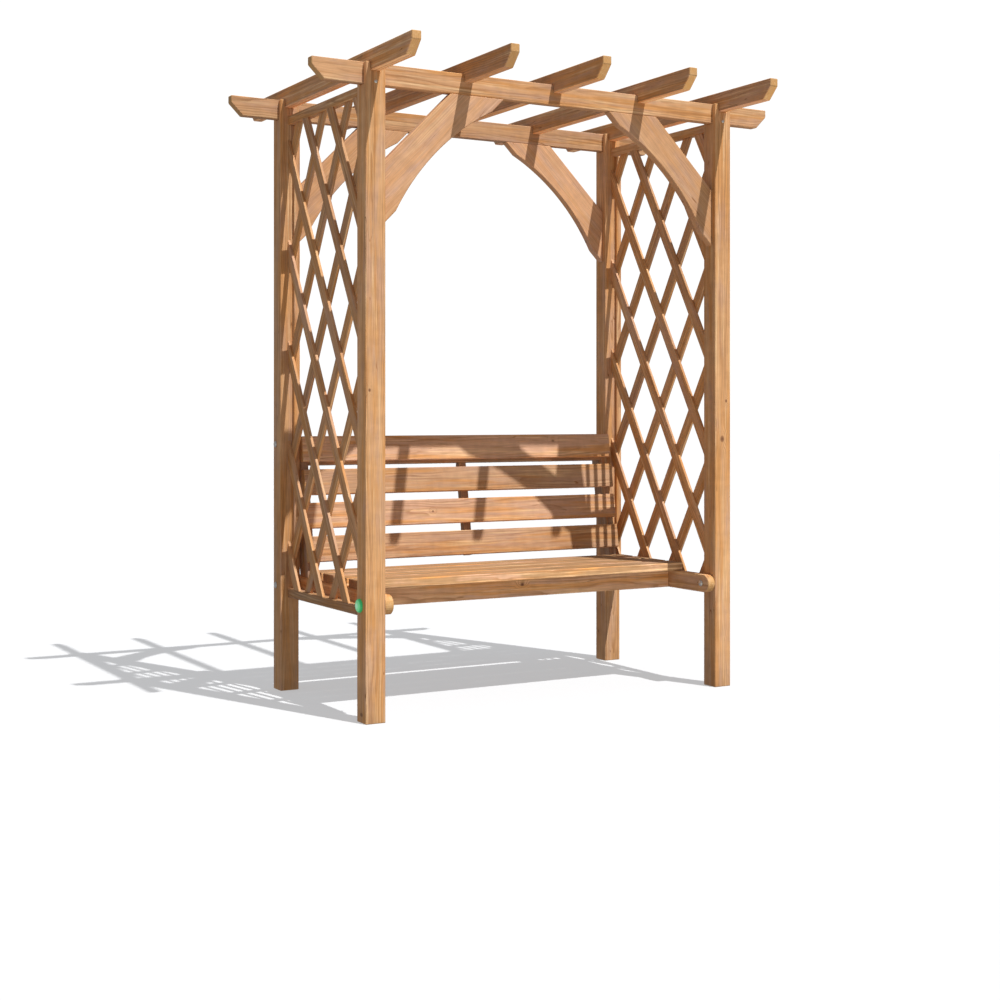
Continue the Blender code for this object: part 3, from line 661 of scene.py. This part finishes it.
class BENCH_OT_posts(bpy.types.Operator):
    """Finishes the four posts"""

    bl_idname = "bench.posts"
    bl_label = "Posts"

    def execute(self, context):
        timber = context.scene.bench_timber
        wood = stained_softwood("stained_spruce_posts", timber.post_colour, 0.9)
        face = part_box("post_front_right")[0].y
        knot_x, knot_z = timber.knot_place
        pin_x, pin_z = timber.pin_place
        eye_x, eye_z = timber.eye_place
        knots = {
            "front_right": ((knot_x, face, knot_z), timber.knot_radius),
            "front_left": ((eye_x, face, eye_z), timber.eye_radius),
        }
        pins = {"front_right": ((pin_x, face, pin_z), timber.pin_radius)}
        # The third number brightens or darkens each post's -X side: painted light and shade
        boards = {
            "front_left": (1.30, 0.95, 1.22),
            "front_right": (2.10, 1.0, 0.88),
            "back_left": (3.70, 0.93, 1.08),
            "back_right": (4.40, 1.0, 1.0),
        }
        for place, (seed, tone, painted_edge_light) in boards.items():
            marks = {"knot": knots.get(place), "pin": pins.get(place)}
            finish_board("post_" + place, wood, Z, X, seed, tone, painted_edge_light, **marks)
        return {"FINISHED"}


class BENCH_OT_beams(bpy.types.Operator):
    """Finishes the two beams"""

    bl_idname = "bench.beams"
    bl_label = "Beams"

    def execute(self, context):
        wood = stained_softwood("stained_spruce_beams", context.scene.bench_timber.beam_colour)
        for place, (seed, tone) in {"front": (0.60, 0.95), "back": (1.90, 0.84)}.items():
            finish_board("beam_" + place, wood, X, Z, seed, tone, blush=0.15)
        return {"FINISHED"}


class BENCH_OT_rafters(bpy.types.Operator):
    """Finishes the five rafters"""

    bl_idname = "bench.rafters"
    bl_label = "Rafters"

    def execute(self, context):
        wood = stained_softwood("stained_spruce_rafters", context.scene.bench_timber.rafter_colour)
        # The second number brightens each rafter's underside and nose bevel: painted light from below
        tones = {1: (1.12, 1.45), 2: (0.9, 1.3), 3: (0.95, 1.6), 4: (0.95, 1.8), 5: (0.95, 1.8)}
        for number, (tone, painted_edge_light) in tones.items():
            finish_board("rafter_" + str(number), wood, Y, Z, 0.83 * number, tone, painted_edge_light)
        return {"FINISHED"}


class BENCH_OT_braces(bpy.types.Operator):
    """Finishes the four scooped braces"""

    bl_idname = "bench.braces"
    bl_label = "Braces"

    def execute(self, context):
        wood = stained_softwood("stained_spruce_braces", context.scene.bench_timber.brace_colour, 0.4)
        boards = {
            ("front", "left"): (1.60, 1.0, 0.35),
            ("front", "right"): (2.40, 0.9, 0.1),
            ("back", "left"): (3.30, 0.9, 0.1),
            ("back", "right"): (4.10, 1.08, 0.35),
        }
        for (end, side), (seed, tone, blush) in boards.items():
            along = (Z - SIDES[side] * X).normalized()
            finish_board(f"brace_{end}_{side}", wood, along, Y.cross(along), seed, tone, blush=blush)
        return {"FINISHED"}


def add_lath(bm, settings, place, thickness, lean, panel, marks, number):
    """Adds one lath to bm: an eased bar round place, cut off by the panel's edges."""
    length = (panel["high"] - panel["low"]) / math.cos(settings.lath_angle) + 2 * settings.lath_width
    lath = bmesh.new()
    bmesh.ops.create_cube(lath, size=1)
    bmesh.ops.scale(lath, vec=(thickness, settings.lath_width, length), verts=lath.verts)
    bmesh.ops.bevel(
        lath, geom=lath.edges[:], offset=settings.lath_arris, segments=1, affect="EDGES", profile=0.5
    )
    stand = Matrix.Translation(place) @ Matrix.Rotation(-lean, 4, "X")
    lath.transform(stand)
    for point, way in (
        ((0, 0, panel["high"]), Z), ((0, 0, panel["low"]), -Z),
        ((0, panel["front"], 0), -Y), ((0, panel["back"], 0), Y),
    ):
        cut = bmesh.ops.bisect_plane(
            lath, geom=lath.verts[:] + lath.edges[:] + lath.faces[:], plane_co=point, plane_no=way,
            clear_outer=True,
        )["geom_cut"]
        edges = [part for part in cut if isinstance(part, bmesh.types.BMEdge)]
        if edges:
            bmesh.ops.contextual_create(lath, geom=edges)
    back = stand.inverted()
    made = bpy.data.meshes.new("lath")
    lath.to_mesh(made)
    lath.free()
    first = len(bm.verts)
    bm.from_mesh(made)
    bpy.data.meshes.remove(made)
    bm.verts.ensure_lookup_table()
    seed = LATH_SEED_STEP * number + LATH_SEED
    for vert in bm.verts[first:]:
        across = back @ vert.co
        vert[marks["place"]] = Vector((across.z, across.y, across.x))
        vert[marks["seed"]] = seed % LATH_SEED_LIMIT
        vert[marks["tone"]] = LATH_TONE + LATH_TONE_SPAN * ((seed * LATH_TONE_PACE) % 1)


def lath_offsets(settings, panel):
    """Where the laths of one layer cross the panel's middle height, as far as they reach into the panel."""
    half_width = (panel["back"] - panel["front"]) / 2
    half_height = (panel["high"] - panel["low"]) / 2
    reach = half_width + half_height * math.tan(settings.lath_angle)
    most = math.ceil(reach / settings.lath_spacing)
    offsets = [(number + 1 / 2) * settings.lath_spacing for number in range(-most - 1, most + 1)]
    inside = []
    for offset in offsets:
        for other in offsets:
            across = abs(offset + other) / 2
            up = abs(offset - other) / (2 * math.tan(settings.lath_angle))
            if across < half_width and up < half_height and offset not in inside:
                inside.append(offset)
    return inside


class BENCH_OT_trellis(bpy.types.Operator):
    """Lays the crossed laths of the side panels, and finishes their rails and battens"""

    bl_idname = "bench.trellis"
    bl_label = "Trellis"

    def execute(self, context):
        settings = context.scene.bench_trellis
        colour = context.scene.bench_timber.trellis_colour
        wood = stained_softwood("stained_spruce_trellis", colour)
        lath_wood = stained_softwood("stained_spruce_laths", colour, lath=True)
        for seed, side in enumerate(SIDES):
            # The bottom rails' low tone darkens them: painted shade
            finish_board("trellis_bottom_rail_" + side, wood, Y, Z, 0.9 + seed, 0.75)
            finish_board("trellis_top_rail_" + side, wood, Y, Z, 2.6 + seed)
            for end, more in {"front": 5 / 3, "back": 4 / 3}.items():
                finish_board(f"trellis_batten_{end}_{side}", wood, Z, X, 1.3 + seed + more)
            low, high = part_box("trellis_lattice_" + side)
            panel = {"low": low.z, "high": high.z, "front": low.y, "back": high.y}
            middle_y = (low.y + high.y) / 2
            middle_z = (low.z + high.z) / 2
            thickness = (high.x - low.x) / 2
            bm = bmesh.new()
            marks = {
                "place": bm.verts.layers.float_vector.new("board_place"),
                "seed": bm.verts.layers.float.new("board_seed"),
                "tone": bm.verts.layers.float.new("board_tone"),
            }
            offsets = lath_offsets(settings, panel)
            for layer, lean in enumerate((settings.lath_angle, -settings.lath_angle)):
                x = low.x + (layer + 1 / 2) * thickness
                for number, offset in enumerate(offsets, start=layer * len(offsets)):
                    place = (x, middle_y + offset, middle_z)
                    add_lath(bm, settings, place, thickness, lean, panel, marks, number)
            laths = add_piece("trellis_laths_" + side, bm, lath_wood)
            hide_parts("trellis_lattice_" + side)
        return {"FINISHED"}


class BENCH_OT_seat(bpy.types.Operator):
    """Finishes the seat slats and the frame under them"""

    bl_idname = "bench.seat"
    bl_label = "Seat"

    def execute(self, context):
        timber = context.scene.bench_timber
        ends = timber.seat_end_colour
        slats = stained_softwood("stained_spruce_seat", timber.seat_colour, end_colour=ends)
        bearers = stained_softwood("stained_spruce_bearers", timber.post_colour)
        # The low tone is painted shade on the slats' tops; the last number brightens their front faces:
        # painted light
        for number in range(1, 5):
            finish_board("seat_slat_" + str(number), slats, X, Y, 0.97 * number + 0.35, 0.83, 1.9)
        knot_x, knot_z = timber.rail_knot_place
        knot = ((knot_x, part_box("seat_rail_front")[0].y, knot_z), timber.rail_knot_radius)
        # The high tone brightens the front rail in the shade of the seat's overhang: painted light, as if
        # thrown up from the floor
        finish_board("seat_rail_front", bearers, X, Z, 2.2, 1.45, blush=0.5, knot=knot)
        finish_board("seat_rail_back", bearers, X, Z, 3.2)
        for number, side in enumerate(("left", "right", "middle")):
            finish_board("seat_bearer_" + side, bearers, Y, Z, 3.1 + number * 0.7)
        return {"FINISHED"}


class BENCH_OT_backrest(bpy.types.Operator):
    """Finishes the slats, rail and uprights of the leaning backrest"""

    bl_idname = "bench.backrest"
    bl_label = "Backrest"

    def execute(self, context):
        timber = context.scene.bench_timber
        wood = stained_softwood("stained_spruce_backrest", timber.back_colour)
        up = Matrix.Rotation(-timber.backrest_lean, 3, "X") @ Z
        low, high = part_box("back_slat_2")
        middle = (low + high) / 2
        eyes = {2: ((timber.slat_eye_x, middle.y, middle.z), timber.slat_eye_radius)}
        slats = {1: (0.85, 0.2), 2: (1.03, 0.75), 3: (0.83, 0.15), 4: (1.14, 0.8)}
        for number, (tone, blush) in slats.items():
            seed = 0.71 * number + 0.2
            eye = eyes.get(number)
            finish_board("back_slat_" + str(number), wood, X, up, seed, tone, blush=blush, knot=eye)
        finish_board("back_rail_top", wood, X, up, 4.3, 0.8)
        # The low tones darken the uprights behind the slats: painted shade
        for number, (side, tone) in enumerate({"left": 0.7, "right": 0.72, "middle": 0.6}.items()):
            finish_board("back_upright_" + side, wood, up, up.cross(X), 1.15 + number, tone, blush=0.5)
        return {"FINISHED"}


def zinc_plate(colour):
    """Bright zinc plate on steel: a cool grey metal with a faint clouding from the plating bath."""
    material, tree, surface = new_material("zinc_plated_steel")
    point = add_node(tree, "TexCoord", output="Object")
    spot = add_node(tree, "VectorMath", {0: point, 1: millimetres(4, 4, 4)}, operation="DIVIDE")
    cloud = add_node(tree, "TexNoise", {"Vector": spot, "Scale": 1, "Detail": 3})
    dull = add_node(tree, "MapRange", {0: cloud, 3: 0.22, 4: 0.46})
    tree.links.new(dull, surface["Roughness"])
    surface["Base Color"].default_value = colour
    surface["Metallic"].default_value = 1
    return material


def dome_profile(radius, height, base, steps=8):
    """(radius, height) points of a low dome, from its crown to its edge."""
    angles = [step / steps * math.pi / 2 for step in range(steps + 1)]
    return [(radius * math.sin(a), base + height * math.cos(a)) for a in angles]


def threaded(radius, top, bottom, pitch):
    """(radius, height) points of a thread's crests and roots, down a shank."""
    turns = max(1, int((top - bottom) / pitch))
    points = []
    for turn in range(turns):
        points.append((radius - pitch / 2, top - turn * pitch))
        points.append((radius, top - (turn + 1 / 2) * pitch))
    return points + [(radius - pitch / 2, bottom), (0, bottom)]


class BENCH_OT_bolts(bpy.types.Operator):
    """Makes the coach bolts with their washers and nuts, and the screws in the post heads"""

    bl_idname = "bench.bolts"
    bl_label = "Bolts and screws"

    def execute(self, context):
        settings = context.scene.bench_fittings
        zinc = zinc_plate(settings.zinc_colour)
        names = [f"seat_bolt_{end}_{side}" for end in ENDS for side in SIDES]
        names += ["back_bolt_" + side for side in SIDES]
        for name in names:
            self.add_bolt(name, settings, zinc)
        for end, y_side in ENDS.items():
            for side in SIDES:
                self.add_screw(f"beam_screw_{end}_{side}", y_side, settings, zinc)
        return {"FINISHED"}

    def add_bolt(self, name, settings, zinc):
        low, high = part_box(name)
        length = high.x - low.x
        washer = settings.washer_diameter / 2
        thick = settings.washer_thickness
        edge = thick / 4
        shank = settings.bolt_diameter / 2
        past_nut = settings.bolt_diameter * 3 / 8
        tail = length - settings.nut_height - thick - past_nut
        under = -settings.bolt_head_diameter / 4
        profile = dome_profile(settings.bolt_head_diameter / 2, -under, under)
        profile += [(washer - edge, under), (washer, under - edge), (washer, under - thick + edge)]
        profile += [(washer - edge, under - thick), (shank, under - thick), (shank, -tail)]
        profile += [(washer - edge, -tail), (washer, -tail - edge), (washer, -tail - thick + edge)]
        profile += [(washer - edge, -tail - thick), (shank, -tail - thick)]
        nut_end = -tail - thick - settings.nut_height
        profile += threaded(shank, nut_end, -length, settings.thread_pitch)
        bm = bmesh.new()
        turned_mesh(bm, profile, 32)
        self.add_nut(bm, -tail - thick, nut_end, settings.nut_flats)
        place = Vector((low.x, (low.y + high.y) / 2, (low.z + high.z) / 2))
        matrix = Matrix.Translation(place) @ Matrix.Rotation(-math.pi / 2, 4, "Y")
        bolt = add_piece("coach_" + name, bm, zinc, matrix)
        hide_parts(name)

    def add_nut(self, bm, top, bottom, flats):
        """A hexagon whose corners are turned off at both ends."""
        corner = flats / 2 / math.cos(math.pi / 6)
        chamfer = (corner - flats / 2) / 2
        levels = ((flats / 2, top), (corner, top - chamfer), (corner, bottom + chamfer), (flats / 2, bottom))
        turned_mesh(bm, [(0, top), *levels, (0, bottom)], 6)

    def add_screw(self, name, y_side, settings, zinc):
        low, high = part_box(name)
        length = high.y - low.y
        head = (high.x - low.x) / 2
        shank = settings.screw_diameter / 2
        under = -head / 2
        profile = [*dome_profile(head, -under, under), (shank, under)]
        profile += threaded(shank, under - length / 3, -length, 2 * settings.thread_pitch)
        bm = bmesh.new()
        turned_mesh(bm, profile, 24)
        y = low.y if y_side < 0 else high.y
        place = Vector(((low.x + high.x) / 2, y, (low.z + high.z) / 2))
        matrix = Matrix.Translation(place) @ Matrix.Rotation(-y_side * math.pi / 2, 4, "X")
        screw = add_piece("coach_" + name, bm, zinc, matrix)
        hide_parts(name)


def moulded_polypropylene(settings, radius):
    """Green polypropylene from a polished mould, evenly glossy, with a painted highlight at the crown,
    painted shade at the rim and a painted glow.
    """
    material, tree, surface = new_material("moulded_polypropylene")
    point = add_node(tree, "TexCoord", output="Object")
    flat = add_node(tree, "VectorMath", {0: point, 1: (1, 1, 0)}, operation="MULTIPLY")
    far = add_node(tree, "VectorMath", {0: flat}, "Value", operation="LENGTH")
    colour = settings.cap_colour
    # Painted highlight towards the middle, painted shade towards the rim
    for tint, start, stop in (
        (settings.cap_crown_colour, 0.6, 0.2),
        (settings.cap_rim_colour, 0.72, 0.96),
    ):
        share = add_node(tree, "MapRange", {0: far, 1: start * radius, 2: stop * radius}, **SMOOTH)
        colour = add_node(tree, "Mix", {0: share, 6: colour, 7: tint}, 2, data_type="RGBA")
    spot = add_node(tree, "VectorMath", {0: point, 1: millimetres(2.5, 2.5, 2.5)}, operation="DIVIDE")
    ripple = add_node(tree, "TexNoise", {"Vector": spot, "Scale": 1, "Detail": 2})
    gloss = add_node(tree, "MapRange", {0: ripple, 3: 0.2, 4: 0.3})
    bump = add_node(tree, "Bump", {"Height": ripple, "Strength": 0.3, "Distance": 0.0002})
    # The colours also feed the emission: a painted glow on top of the painted highlight and rim shade
    for socket, value in {
        "Base Color": colour, "Emission Color": colour, "Roughness": gloss, "Normal": bump
    }.items():
        tree.links.new(value, surface[socket])
    surface["IOR"].default_value = 1.49
    surface["Emission Strength"].default_value = settings.cap_glow
    return material


class BENCH_OT_cap(bpy.types.Operator):
    """Makes the green plastic cap over the front left bolt"""

    bl_idname = "bench.cap"
    bl_label = "Bolt cap"

    def execute(self, context):
        settings = context.scene.bench_fittings
        low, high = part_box("bolt_cap")
        radius = (high.z - low.z) / 2
        height = high.x - low.x
        wall = settings.cap_wall
        outer = dome_profile(radius, height - settings.cap_rim, settings.cap_rim - height, 12)
        inner = dome_profile(radius - wall, height - settings.cap_rim - wall, settings.cap_rim - height, 12)
        profile = outer + [(radius, -height), (radius - wall, -height)] + inner[::-1]
        bm = bmesh.new()
        turned_mesh(bm, profile, 48)
        material = moulded_polypropylene(settings, radius)
        place = Vector((low.x, (low.y + high.y) / 2, (low.z + high.z) / 2))
        matrix = Matrix.Translation(place) @ Matrix.Rotation(-math.pi / 2, 4, "Y")
        cap = add_piece("green_bolt_cap", bm, material, matrix)
        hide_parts("bolt_cap")
        return {"FINISHED"}


class BENCH_OT_stage(bpy.types.Operator):
    """Sets the floor, the backdrop, the lights and the camera"""

    bl_idname = "bench.stage"
    bl_label = "Stage"

    def execute(self, context):
        settings = context.scene.bench_stage
        self.add_floor(settings)
        self.add_backdrop(settings)
        self.add_lights(settings)
        self.add_camera(settings)
        context.scene.view_settings.view_transform = "Standard"
        return {"FINISHED"}

    def add_stage_object(self, name, bm, material):
        """Makes an object of bm that throws no light back on the bench."""
        obj = mesh_object(name, bm, material)
        obj.visible_diffuse = False
        obj.visible_glossy = False
        return obj

    def add_floor(self, settings):
        """A pale matt floor that glows a little, so that the shadows on it stay pale."""
        material, tree, surface = new_material("pale_studio_floor")
        surface["Base Color"].default_value = settings.floor_colour
        surface["Roughness"].default_value = 1
        surface["Specular IOR Level"].default_value = 0
        surface["Emission Color"].default_value = settings.glow_colour
        surface["Emission Strength"].default_value = settings.floor_glow
        bm = bmesh.new()
        bmesh.ops.create_circle(bm, cap_ends=True, segments=96, radius=settings.floor_radius)
        self.add_stage_object("floor", bm, material)

    def add_backdrop(self, settings):
        """A white dome that only the camera sees, so that it adds no light."""
        material, tree, surface = new_material("white_backdrop")
        tree.nodes.remove(tree.nodes["Principled BSDF"])
        glow = add_node(tree, "Emission", {"Strength": BACKDROP_GLOW})
        tree.links.new(glow, tree.nodes["Material Output"].inputs["Surface"])
        bm = bmesh.new()
        radius = settings.floor_radius - BACKDROP_INSET
        bmesh.ops.create_uvsphere(bm, u_segments=48, v_segments=24, radius=radius)
        dome = self.add_stage_object("backdrop", bm, material)
        dome.visible_shadow = False
        dome.visible_transmission = False

    def add_lights(self, settings):
        sun = bpy.data.lights.new("key_sun", "SUN")
        sun.energy = settings.sun_strength
        sun.angle = settings.sun_angle
        lamp = new_object("key_sun", sun)
        lamp.rotation_euler = Vector(settings.sun_way).to_track_quat("-Z", "Y").to_euler()
        wide, deep = settings.fill_size
        fill = bpy.data.lights.new("low_fill", "AREA")
        fill.shape = "RECTANGLE"
        fill.color = settings.fill_colour[:3]
        fill.size, fill.size_y = wide, deep
        fill.energy = settings.fill_strength * math.pi * wide * deep
        card = new_object("low_fill", fill)
        card.location = (0, -settings.fill_start - deep / 2, settings.fill_height)
        card.rotation_euler = (math.pi, 0, 0)
        card.visible_camera = False
        world = bpy.data.worlds.new("soft_sky")
        world.use_nodes = True
        background = world.node_tree.nodes["Background"].inputs
        background["Color"].default_value = settings.sky_colour
        background["Strength"].default_value = settings.sky_strength
        bpy.context.scene.world = world

    def add_camera(self, settings):
        camera = bpy.data.cameras.new("camera")
        camera.sensor_width = 36
        camera.lens = settings.camera_lens
        camera.shift_x, camera.shift_y = settings.camera_shift
        holder = new_object("camera", camera)
        holder.location = settings.camera_place
        holder.rotation_euler = (math.pi / 2, 0, -settings.camera_turn)
        bpy.context.scene.camera = holder


class BENCH_PT_panel(bpy.types.Panel):
    """Lists the bench's pieces and their settings"""

    bl_label = "Pergola Bench"
    bl_idname = "BENCH_PT_panel"
    bl_space_type = "VIEW_3D"
    bl_region_type = "UI"
    bl_category = "Pergola Bench"

    def draw(self, context):
        layout = self.layout
        for operator in OPERATORS:
            layout.operator(operator.bl_idname)
        for name in SETTINGS:
            box = layout.box()
            group = getattr(context.scene, name)
            for key in group.bl_rna.properties.keys():
                if key not in ("rna_type", "name"):
                    box.prop(group, key)


SETTINGS = {
    "bench_timber": TimberSettings,
    "bench_trellis": TrellisSettings,
    "bench_fittings": FittingSettings,
    "bench_stage": StageSettings,
}
OPERATORS = (
    BENCH_OT_stage,
    BENCH_OT_posts,
    BENCH_OT_beams,
    BENCH_OT_rafters,
    BENCH_OT_braces,
    BENCH_OT_trellis,
    BENCH_OT_seat,
    BENCH_OT_backrest,
    BENCH_OT_bolts,
    BENCH_OT_cap,
)


def register():
    for cls in (*SETTINGS.values(), *OPERATORS, BENCH_PT_panel):
        bpy.utils.register_class(cls)
    for name, cls in SETTINGS.items():
        setattr(bpy.types.Scene, name, PointerProperty(type=cls))


def unregister():
    for name in SETTINGS:
        delattr(bpy.types.Scene, name)
    for cls in (BENCH_PT_panel, *reversed(OPERATORS), *SETTINGS.values()):
        bpy.utils.unregister_class(cls)


def main():
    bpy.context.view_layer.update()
    register()
    for operator in OPERATORS:
        family, name = operator.bl_idname.split(".")
        getattr(getattr(bpy.ops, family), name)()


if __name__ == "__main__":
    main()
